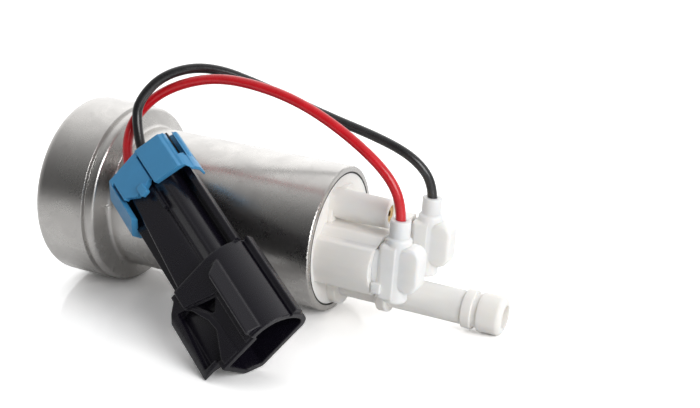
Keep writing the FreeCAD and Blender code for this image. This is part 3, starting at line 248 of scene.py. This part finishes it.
def steel(name, light, dark, matrix, rough, stain, edge=0.00015):
    """Satin metal with turning marks round the part, grain and handling stains."""
    made, tree, shader = new_material(name)
    place = place_of(tree, matrix)
    cloud = noise(tree, place, 0.11, 5, 0.6, 0.6)
    grain = noise(tree, place, 3.2, 4, 0.7)
    lines = noise(tree, place_of(tree, matrix, (1, 0.012, 0.012)), 5.0, 3, 0.6)
    blotch = spread(tree, noise(tree, place, 0.32, 6, 0.72, 1.2), 0.56, 0.74, 0, stain)
    base = blend_colour(tree, spread(tree, cloud, 0.35, 0.65, 0, 1), light, dark)
    soiled = tuple(value * 0.6 for value in dark)
    colour = blend_colour(tree, blotch, base, soiled)
    tree.links.new(colour, shader.inputs["Base Color"])
    shader.inputs["Metallic"].default_value = 1
    wear = add_values(tree, spread(tree, grain, 0.3, 0.7, rough - 0.02, rough + 0.03),
                      spread(tree, cloud, 0.3, 0.7, -0.03, 0.05))
    wear = add_values(tree, wear, add_values(tree, blotch, 0.12, "MULTIPLY"))
    tree.links.new(wear, shader.inputs["Roughness"])
    first = bump(tree, shader, grain, 0.00001, 0.08, edge=edge)
    bump(tree, shader, lines, 0.00001, 0.25, under=first)
    return made


def moulding(name, colour, matrix, rough, vary, glow=0, edge=0.0002):
    """Moulded plastic with a fine skin, flow marks and softened edges."""
    made, tree, shader = new_material(name)
    place = place_of(tree, matrix)
    flow = noise(tree, place_of(tree, matrix, (0.35, 1, 1)), 0.22, 4, 0.55, 0.8)
    skin = noise(tree, place, 6.0, 3, 0.6)
    other = tuple(value * (1 - vary * 2.2) for value in colour)
    share = spread(tree, flow, 0.3, 0.7, 0, 1)
    tree.links.new(blend_colour(tree, share, colour, other), shader.inputs["Base Color"])
    if glow:
        shader.inputs["Subsurface Weight"].default_value = glow
        shader.inputs["Subsurface Radius"].default_value = (1.0, 0.85, 0.7)
        shader.inputs["Subsurface Scale"].default_value = 0.003
    roughness = add_values(tree, spread(tree, skin, 0.3, 0.7, rough - 0.05, rough + 0.05),
                           spread(tree, flow, 0.3, 0.7, -0.04, 0.05))
    tree.links.new(roughness, shader.inputs["Roughness"])
    bump(tree, shader, skin, 0.00003, 0.4, edge=edge)
    return made


def rubber(name, colour, matrix):
    """Dull soft or pressed matter, such as rubber, carbon and ferrite, with dust."""
    made, tree, shader = new_material(name)
    place = place_of(tree, matrix)
    dust = spread(tree, noise(tree, place, 0.9, 5, 0.7), 0.45, 0.75, 0, 0.35)
    pale = tuple(value * 0.6 + 0.12 for value in colour)
    tree.links.new(blend_colour(tree, dust, colour, pale), shader.inputs["Base Color"])
    skin = noise(tree, place, 4.0, 4, 0.65)
    tree.links.new(spread(tree, skin, 0.3, 0.7, 0.55, 0.75), shader.inputs["Roughness"])
    bump(tree, shader, skin, 0.00005, 0.4)
    return made


def insulation(name, colour, dark):
    """Extruded insulation: glossy, with slight waves along it and dust."""
    made, tree, shader = new_material(name)
    place = place_of(tree, Matrix())
    wave = noise(tree, place, 0.35, 3, 0.5)
    fine = noise(tree, place, 5.0, 3, 0.6)
    share = spread(tree, wave, 0.3, 0.7, 0, 1)
    tree.links.new(blend_colour(tree, share, colour, dark), shader.inputs["Base Color"])
    tree.links.new(spread(tree, fine, 0.3, 0.7, 0.24, 0.36), shader.inputs["Roughness"])
    shader.inputs["Coat Weight"].default_value = 0.25
    shader.inputs["Coat Roughness"].default_value = 0.15
    first = bump(tree, shader, fine, 0.00003, 0.35)
    bump(tree, shader, wave, 0.0004, 0.3, under=first)
    return made


def laminations(name, colour, matrix):
    """Stacked sheets: dark lines across the axis."""
    made, tree, shader = new_material(name)
    place = place_of(tree, matrix)
    wave = tree.nodes.new("ShaderNodeTexWave")
    wave.wave_type = "BANDS"
    wave.bands_direction = "X"
    wave.inputs["Scale"].default_value = 0.6
    wave.inputs["Distortion"].default_value = 0.1
    tree.links.new(place, wave.inputs["Vector"])
    sheet = spread(tree, wave.outputs["Fac"], 0.2, 0.9, 0, 1)
    dark = tuple(value * 0.35 for value in colour)
    tree.links.new(blend_colour(tree, sheet, dark, colour), shader.inputs["Base Color"])
    shader.inputs["Metallic"].default_value = 1
    grain = noise(tree, place, 3.0, 3, 0.6)
    tree.links.new(spread(tree, grain, 0.3, 0.7, 0.4, 0.55), shader.inputs["Roughness"])
    bump(tree, shader, wave.outputs["Fac"], 0.0001, 0.5)
    return made


def wound_wire(name, colour, matrix):
    """Enamelled wire wound round the rotor: fine ribs, with painted shade between them and a
    painted highlight on their tops.
    """
    made, tree, shader = new_material(name)
    place = place_of(tree, matrix, (1, 1.3, 1.3))
    wave = tree.nodes.new("ShaderNodeTexWave")
    wave.wave_type = "RINGS"
    wave.rings_direction = "X"
    wave.inputs["Scale"].default_value = 0.75
    wave.inputs["Distortion"].default_value = 1.5
    wave.inputs["Detail Scale"].default_value = 0.4
    tree.links.new(place, wave.inputs["Vector"])
    # painted shade: the colour is darker between the turns, and lighter on their tops as a
    # painted highlight
    rib_painted_shading = spread(tree, wave.outputs["Fac"], 0.1, 0.9, 0, 1)
    dark = tuple(value * 0.4 for value in colour)
    tree.links.new(blend_colour(tree, rib_painted_shading, dark, colour), shader.inputs["Base Color"])
    shader.inputs["Metallic"].default_value = 0.85
    varnish = noise(tree, place, 1.2, 3, 0.6)
    tree.links.new(spread(tree, varnish, 0.3, 0.7, 0.25, 0.42), shader.inputs["Roughness"])
    shader.inputs["Coat Weight"].default_value = 0.3
    bump(tree, shader, wave.outputs["Fac"], 0.00035, 0.8)
    return made


finishes = {
    "plated_steel": steel("can_steel", (0.62, 0.605, 0.585), (0.54, 0.525, 0.51), PUMP,
                          0.27, 0.3, 0.0003),
    "white_nylon": moulding("white_nylon", (0.90, 0.875, 0.84), PUMP, 0.40, 0.02, 0.5),
    "white_cover": moulding("white_cover", (0.87, 0.87, 0.86), PUMP, 0.34, 0.015, 0.6, 0.0006),
    "black_nylon": moulding("black_nylon", (0.0066, 0.0056, 0.0105), CONNECTOR,
                            0.25, 0.1, 0, 0.0005),
    "blue_nylon": moulding("blue_nylon", (0.064, 0.295, 0.560), CONNECTOR,
                           0.36, 0.03, 0.1, 0.0004),
    "red_insulation": insulation("red_insulation", (0.66, 0.009, 0.018), (0.54, 0.006, 0.012)),
    "black_insulation": insulation("black_insulation", (0.012, 0.012, 0.013),
                                   (0.02, 0.02, 0.021)),
    "cast_aluminium": steel("cast_aluminium", (0.70, 0.70, 0.71), (0.58, 0.58, 0.59), PUMP,
                            0.42, 0.25),
    "phenolic": moulding("phenolic", (0.085, 0.050, 0.030), PUMP, 0.5, 0.15),
    "carbon": rubber("carbon", (0.035, 0.035, 0.037), PUMP),
    "ground_steel": steel("ground_steel", (0.74, 0.74, 0.75), (0.68, 0.68, 0.69), PUMP,
                          0.14, 0.1),
    "lamination_steel": laminations("lamination_steel", (0.46, 0.46, 0.48), PUMP),
    "copper": wound_wire("copper", (0.78, 0.30, 0.12), PUMP),
    "ferrite": rubber("ferrite", (0.045, 0.045, 0.048), PUMP),
    "spring_steel": steel("spring_steel", (0.62, 0.63, 0.65), (0.5, 0.5, 0.52), PUMP, 0.2, 0.1),
    "tinned_brass": steel("tinned_brass", (0.76, 0.74, 0.68), (0.66, 0.64, 0.58), PUMP,
                          0.24, 0.2),
    "brass": steel("brass", (0.74, 0.52, 0.22), (0.62, 0.42, 0.17), PUMP, 0.26, 0.3),
    "seal_rubber": rubber("seal_rubber", (0.015, 0.015, 0.015), PUMP),
    "blue_rubber": rubber("blue_rubber", (0.06, 0.14, 0.26), CONNECTOR),
}


# Pieces made here: millimetres in the connector's frame or in the pump's

MILLIMETRE = 0.001
SHARP_ANGLE = math.radians(24)
# a point on a cut lies within this of it
NEAR = 0.02


def add_piece(name, shape, slot_name, matrix):
    """Turns a shape, in millimetres of a frame, into a piece that rides on the pump."""
    mesh = bpy.data.meshes.new(name)
    shape.to_mesh(mesh)
    shape.free()
    if "custom_normal" in mesh.attributes:
        mesh.attributes.remove(mesh.attributes["custom_normal"])
    piece = bpy.data.objects.new(name, mesh)
    scene.collection.objects.link(piece)
    mesh.transform(matrix @ Matrix.Scale(MILLIMETRE, 4))
    mesh.materials.clear()
    mesh.materials.append(finishes[slot_name])
    mesh.polygons.foreach_set("use_smooth", [True] * len(mesh.polygons))
    mesh.set_sharp_from_angle(angle=SHARP_ANGLE)
    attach(piece, "pump")
    return piece


# Fitted pieces: connector solids whose skin follows the photograph more closely

LOCK_REAR = -62.5

# cuts across the length, then cuts along it
BESIDE_SHROUD = -24.35
STRIP_FRONT = -51.9
BAND_REAR = -51.3
LEFT_CUT = -0.2
LOBE_CUTS = [10.9, 11.5, 12.1, 12.7, 13.3, 13.9]
RAIL_CUTS = [18.7, 18.76]
SHOULDER_CUTS = [18.25, 19.1, 19.8, 20.4]

# rear body: its left edge by depth, its lobe and lower side by place across
LEFT_EDGE = [(-62.3, 1.7), (-24.3, -1.1)]
LOBE_ACROSS = [(12.5, 12.5), (14.3, 13.4), (16.0, 14.7), (18.35, 16.3)]
LOBE_OUT = [(8.3, -1.7), (9.6, -2.0), (10.7, -1.95), (11.5, -1.65), (12.3, -1.35),
            (13.1, -1.15), (14.6, -1.1)]
LOWER_ACROSS = [(15.0, 15.0), (18.3, 17.5), (18.7, 17.9), (20.2, 18.9)]

# rear body: edges of the parts of its CAD section, and where they go
LEFT_SIDE, LEFT_TOP, LEFT_MIDDLE, LEFT_FOOT = 2.6, -2.2, -5.5, -6.1
STEP_PLACE, STEP_HEIGHT = 1.5, -4.5
FOOT_SHIFT, FOOT_HEIGHT = 0.4, -4.9
LOWER_TOP = -7.0
GROOVE_LEFT, GROOVE_PLACE = 18.36, 18.4
RAIL_LEFT, RAIL_PLACE, RAIL_SPREAD, RAIL_LIFT = 18.73, 18.5, 1.1, 2.6
VALLEY_FLOOR = -3.3
RIB_REAR, RIB_FRONT, RIB_LEFT, RIB_RIGHT = -50.1, -44.3, 9.4, 10.3

# lock: places across, and the heights of its rounded right end
LOCK_ACROSS = [(12.5, 12.5), (17.2, 19.0), (18.4, 20.6), (20.9, 21.7), (21.8, 22.3)]
BAND_ROUNDING = [(19.9, 0), (20.6, -0.25), (21.2, -0.9), (21.8, -1.9), (22.3, -3.1)]
SIDE_LEFT, SIDE_TOP = 20.2, -4.6
SIDE_PLACE, SIDE_SQUASH = -4.3, 0.15
TUCK_TOP, TUCK_REACH, TUCK = -4.0, 3.0, 1.6
TOP_FLOOR = -1.9
STRIP_LEFT, STRIP_TOP = 21.6, -2.6
REAR_DEPTH, REAR_SLANT = 1.0, 0.28


def along(value, places):
    """A value read from a short list of (from, to) pairs, straight between them."""
    for (low, to_low), (high, to_high) in zip(places, places[1:]):
        if value <= high:
            break
    return to_low + (value - low) / (high - low) * (to_high - to_low)


def housing_point(across, out, ahead):
    """Steps the rear body's left side, rounds its right lobe and lifts its rail."""
    if ahead > BESIDE_SHROUD + NEAR:
        return across, out, ahead
    if across < LEFT_SIDE and out > LEFT_FOOT:
        if out < LEFT_MIDDLE:
            return across + FOOT_SHIFT, FOOT_HEIGHT, ahead
        if out < LEFT_TOP:
            return STEP_PLACE + along(ahead, LEFT_EDGE), STEP_HEIGHT, ahead
        return across + along(ahead, LEFT_EDGE), out, ahead
    if out < LOWER_TOP:
        if across > LOWER_ACROSS[0][0]:
            across = along(across, LOWER_ACROSS)
        return across, out, ahead
    if across > RAIL_LEFT:
        return RAIL_PLACE + (across - RAIL_CUTS[1]) * RAIL_SPREAD, out + RAIL_LIFT, ahead
    if across > GROOVE_LEFT:
        return GROOVE_PLACE, out, ahead
    on_rib = RIB_REAR < ahead < RIB_FRONT and RIB_LEFT < across < RIB_RIGHT
    on_lobe = LOBE_OUT[0][0] < across < LOBE_OUT[-1][0]
    if out > VALLEY_FLOOR and on_lobe and not on_rib:
        out = along(across, LOBE_OUT)
    if across > LOBE_ACROSS[0][0]:
        across = along(across, LOBE_ACROSS)
    return across, out, ahead


def lock_point(across, out, ahead):
    """Squares the lock's right shoulder, slants its rear and slims the strip at its window."""
    beside_window = ahead < STRIP_FRONT + NEAR
    if across > SIDE_LEFT and out < SIDE_TOP:
        if beside_window:
            out = SIDE_PLACE + (out - SIDE_TOP) * SIDE_SQUASH
        else:
            across -= TUCK * min((TUCK_TOP - out) / TUCK_REACH, 1)
    if across > LOCK_ACROSS[0][0]:
        across = along(across, LOCK_ACROSS)
    if across > BAND_ROUNDING[0][0] and out > TOP_FLOOR:
        on_strip = beside_window and across > STRIP_LEFT
        out = STRIP_TOP if on_strip else min(out, along(across, BAND_ROUNDING))
    if ahead < LOCK_REAR + REAR_DEPTH and across > LOCK_ACROSS[0][0]:
        ahead += REAR_SLANT * (across - LOCK_ACROSS[0][0])
    return across, out, ahead


def add_fitted(name, node, slot_name, cuts, side_cuts, move):
    """Stands for a connector node: its own mesh, cut across, with some points moved."""
    shape = bmesh.new()
    shape.from_mesh(frame["nodes"][node].data)
    bmesh.ops.remove_doubles(shape, verts=shape.verts, dist=1e-6)
    bmesh.ops.transform(shape, matrix=Matrix.Scale(1000, 4) @ CONNECTOR.inverted(),
                        verts=shape.verts)
    planes = [((0, 0, depth), (0, 0, 1)) for depth in cuts]
    planes += [((place, 0, 0), (1, 0, 0)) for place in side_cuts]
    for point, normal in planes:
        bmesh.ops.bisect_plane(shape, geom=shape.verts[:] + shape.edges[:] + shape.faces[:],
                               dist=0.0001, plane_co=point, plane_no=normal)
    for vert in shape.verts:
        vert.co = move(*vert.co)
    piece = add_piece(name, shape, slot_name, CONNECTOR)
    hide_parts(node)
    return piece


housing_skin = add_fitted("housing_skin", "connector_housing", "black_nylon", [BESIDE_SHROUD],
                          [LEFT_CUT] + LOBE_CUTS + RAIL_CUTS, housing_point)
lock_skin = add_fitted("lock_skin", "connector_lock", "blue_nylon", [STRIP_FRONT, BAND_REAR],
                       SHOULDER_CUTS, lock_point)


# Trim and springs

def skin_rings(shape, rings, closed):
    """Joins rings of points with faces, then closes the loop or caps both ends."""
    follow = rings[1:] + rings[:1] if closed else rings[1:]
    for ring, after in zip(rings, follow):
        for index in range(len(ring)):
            turned = (index + 1) % len(ring)
            shape.faces.new((ring[index], ring[turned], after[turned], after[index]))
    if not closed:
        shape.faces.new(reversed(rings[0]))
        shape.faces.new(rings[-1])
    bmesh.ops.recalc_face_normals(shape, faces=shape.faces)


def add_plate(name, slot_name, corners, low, high, bevel):
    """A flat plate in the connector: corners (across, ahead) between two heights."""
    shape = bmesh.new()
    rings = [[shape.verts.new((across, height, ahead)) for across, ahead in corners]
             for height in (low, high)]
    shape.faces.new(rings[0])
    shape.faces.new(reversed(rings[1]))
    for index in range(len(corners)):
        after = (index + 1) % len(corners)
        shape.faces.new((rings[0][after], rings[0][index], rings[1][index], rings[1][after]))
    bmesh.ops.recalc_face_normals(shape, faces=shape.faces)
    bmesh.ops.bevel(shape, geom=shape.edges[:], offset=bevel, segments=2, profile=0.5,
                    affect="EDGES")
    return add_piece(name, shape, slot_name, CONNECTOR)


def add_bar(name, slot_name, start, end, radius, around=16, rows=6):
    """A bar with round ends in the connector, from start to end along its length."""
    shape = bmesh.new()
    rings = []
    for side, (across, out, ahead) in ((-1, start), (1, end)):
        for row in range(rows):
            tilt = (row / (rows - 1) if side > 0 else 1 - row / (rows - 1)) * math.radians(84)
            ring = []
            for turn in range(around):
                angle = math.tau * turn / around
                reach = radius * math.cos(tilt)
                ring.append(shape.verts.new((
                    across + reach * math.cos(angle), out + reach * math.sin(angle),
                    ahead + side * radius * math.sin(tilt))))
            rings.append(ring)
    skin_rings(shape, rings, closed=False)
    return add_piece(name, shape, slot_name, CONNECTOR)


def add_ring(name, slot_name, outline, around=144):
    """A ring round the pump's axis, turned from an outline of (along, radius) pairs."""
    shape = bmesh.new()
    rings = []
    for turn in range(around):
        angle = math.tau * turn / around
        rings.append([shape.verts.new((place, radius * math.cos(angle), radius * math.sin(angle)))
                      for place, radius in outline])
    skin_rings(shape, rings, closed=True)
    add_piece(name, shape, slot_name, PUMP)


def add_coil(name, node, joint, travel, turns, centre, span, radius, wire, around=8, steps=20):
    """A coil in the pump, along span, in place of its spring node."""
    shape = bmesh.new()
    near, far = span
    first, last = near + wire, far - wire
    total = turns * steps
    rings = []
    for index in range(total + 1):
        angle = math.tau * index / steps
        place = first + (last - first) * index / total
        ring = []
        for turn in range(around):
            tilt = math.tau * turn / around
            reach = radius + wire * math.cos(tilt)
            ring.append(shape.verts.new((
                place + wire * math.sin(tilt), centre[0] + reach * math.cos(angle),
                centre[1] + reach * math.sin(angle))))
        rings.append(ring)
    skin_rings(shape, rings, closed=False)
    coil = add_piece(name, shape, "spring_steel", PUMP)
    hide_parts(node)
    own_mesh(coil)


wing_web = add_plate(
    "wing_web", "black_nylon",
    [(-4.0, -3.0), (-2.2, -19.4), (-0.2, -18.7), (1.6, -17.1), (4.0, -11.9), (4.5, -8.4),
     (1.5, -2.0)], -3.8, -2.7, 0.15)
lock_floor = add_plate(
    "lock_floor", "blue_nylon",
    [(19.4, -61.4), (22.0, -60.4), (22.0, -53.4), (19.4, -53.4)], -4.7, -4.0, 0.1)
lock_bar = add_bar("lock_bar", "blue_nylon", (22.0, -3.2, -59.3), (21.9, -3.2, -51.6), 0.7)
# a near-black ring in the groove between the can's rim and the cap, which makes the dark line
# there
add_ring("rim_dark_ring", "seal_rubber",
         [(79.1, 17.56), (79.1, 18.04), (80.1, 18.04), (80.21, 17.94), (80.24, 17.8),
          (80.21, 17.66), (80.1, 17.56)])

# travel of the slide, turns, centre (y, z), span along the pump, radius and wire's radius
for coil in (
        ("front_brush_coil", "front_brush_spring", "front_brush_slide",
         2.0, 9, (-8.4, 0), (74.6, 87.4), 1.8, 0.3),
        ("rear_brush_coil", "rear_brush_spring", "rear_brush_slide",
         2.0, 9, (8.4, 0), (74.6, 87.4), 1.8, 0.3),
        ("check_coil", "check_spring", "check_valve_slide",
         2.5, 4, (0, -10.83), (100.3, 105.9), 1.6, 0.25),
        ("relief_coil", "relief_spring", "relief_valve_slide",
         1.8, 4, (-5.3, 11.7), (88.105, 92.905), 1.6, 0.25)):
    add_coil(*coil)


# Finishes of the CAD pieces and of the leads

slots = {entry["node"]: entry["material_slot"] for entry in frame["record"]["subparts"]}
for node, piece in frame["nodes"].items():
    for holder in piece.material_slots:
        holder.material = finishes[slots[node]]

# each lead's length runs from its plug to its end inside the connector
for lead, slot_name, route, length in (
        (red_lead, "red_insulation", RED_ROUTE, 0.1180),
        (black_lead, "black_insulation", BLACK_ROUTE, 0.1167)):
    lead.data.materials.append(finishes[slot_name])


# Studio: places in metres

FLOOR_REACH = 3
FLOOR_COLOUR = (0.90, 0.90, 0.90)
FLOOR_SEEN = (1.75, 1.75, 1.75)
FLOOR_ROUGHNESS = 0.10
LAMP_PLACE = Vector((0.65, -0.40, 0.35))
LAMP_TARGET = Vector((0, 0, 0.03))
LAMP_SIZE = 0.5
LAMP_POWER = 5.0

# side that the soft light comes from, how far round it reaches and how fast it fades
SOFT_LIGHT_SIDE = (-0.25, 0.85, 0.46)
SOFT_LIGHT_EDGE = -0.9
SOFT_LIGHT_FALLOFF = 2.4
LIGHT_LEVEL = 1.6
DARK_LEVEL = 0.05


def add_floor():
    mesh = bpy.data.meshes.new("floor")
    corners = [(x * FLOOR_REACH, y * FLOOR_REACH, 0)
               for x, y in ((-1, -1), (1, -1), (1, 1), (-1, 1))]
    mesh.from_pydata(corners, [], [(0, 1, 2, 3)])
    floor = bpy.data.objects.new("floor", mesh)
    scene.collection.objects.link(floor)
    made, tree, shader = new_material("floor_white")
    # the camera sees the floor lighter, so that it runs into the white backdrop
    path = tree.nodes.new("ShaderNodeLightPath")
    tree.links.new(blend_colour(tree, path.outputs["Is Camera Ray"], FLOOR_COLOUR, FLOOR_SEEN),
                   shader.inputs["Base Color"])
    shader.inputs["Roughness"].default_value = FLOOR_ROUGHNESS
    mesh.materials.append(made)


def add_lamp():
    data = bpy.data.lights.new("right_lamp", "AREA")
    data.shape = "RECTANGLE"
    data.size = data.size_y = LAMP_SIZE
    data.energy = LAMP_POWER
    lamp = bpy.data.objects.new("right_lamp", data)
    scene.collection.objects.link(lamp)
    lamp.location = LAMP_PLACE
    lamp.rotation_euler = (LAMP_TARGET - LAMP_PLACE).to_track_quat("-Z", "Y").to_euler()


def add_world():
    """A soft light that comes from behind and above and fades towards the dark front."""
    world = bpy.data.worlds.new("studio")
    scene.world = world
    world.use_nodes = True
    tree = world.node_tree
    tree.nodes.clear()
    out = tree.nodes.new("ShaderNodeOutputWorld")
    direction = tree.nodes.new("ShaderNodeTexCoord")
    facing = tree.nodes.new("ShaderNodeVectorMath")
    facing.operation = "DOT_PRODUCT"
    facing.inputs[1].default_value = SOFT_LIGHT_SIDE
    tree.links.new(direction.outputs["Generated"], facing.inputs[0])
    share = spread(tree, facing.outputs["Value"], SOFT_LIGHT_EDGE, 1, 0, 1)
    falloff = add_values(tree, share, SOFT_LIGHT_FALLOFF, "POWER")
    background = tree.nodes.new("ShaderNodeBackground")
    tree.links.new(spread(tree, falloff, 0, 1, DARK_LEVEL, LIGHT_LEVEL),
                   background.inputs["Strength"])
    white = tree.nodes.new("ShaderNodeBackground")
    for node in (background, white):
        node.inputs["Color"].default_value = (1, 1, 1, 1)
    path = tree.nodes.new("ShaderNodeLightPath")
    mix = tree.nodes.new("ShaderNodeMixShader")
    tree.links.new(path.outputs["Is Camera Ray"], mix.inputs[0])
    tree.links.new(background.outputs[0], mix.inputs[1])
    tree.links.new(white.outputs[0], mix.inputs[2])
    tree.links.new(mix.outputs[0], out.inputs[0])


add_floor()
add_world()
add_lamp()

scene.view_settings.view_transform = "Standard"
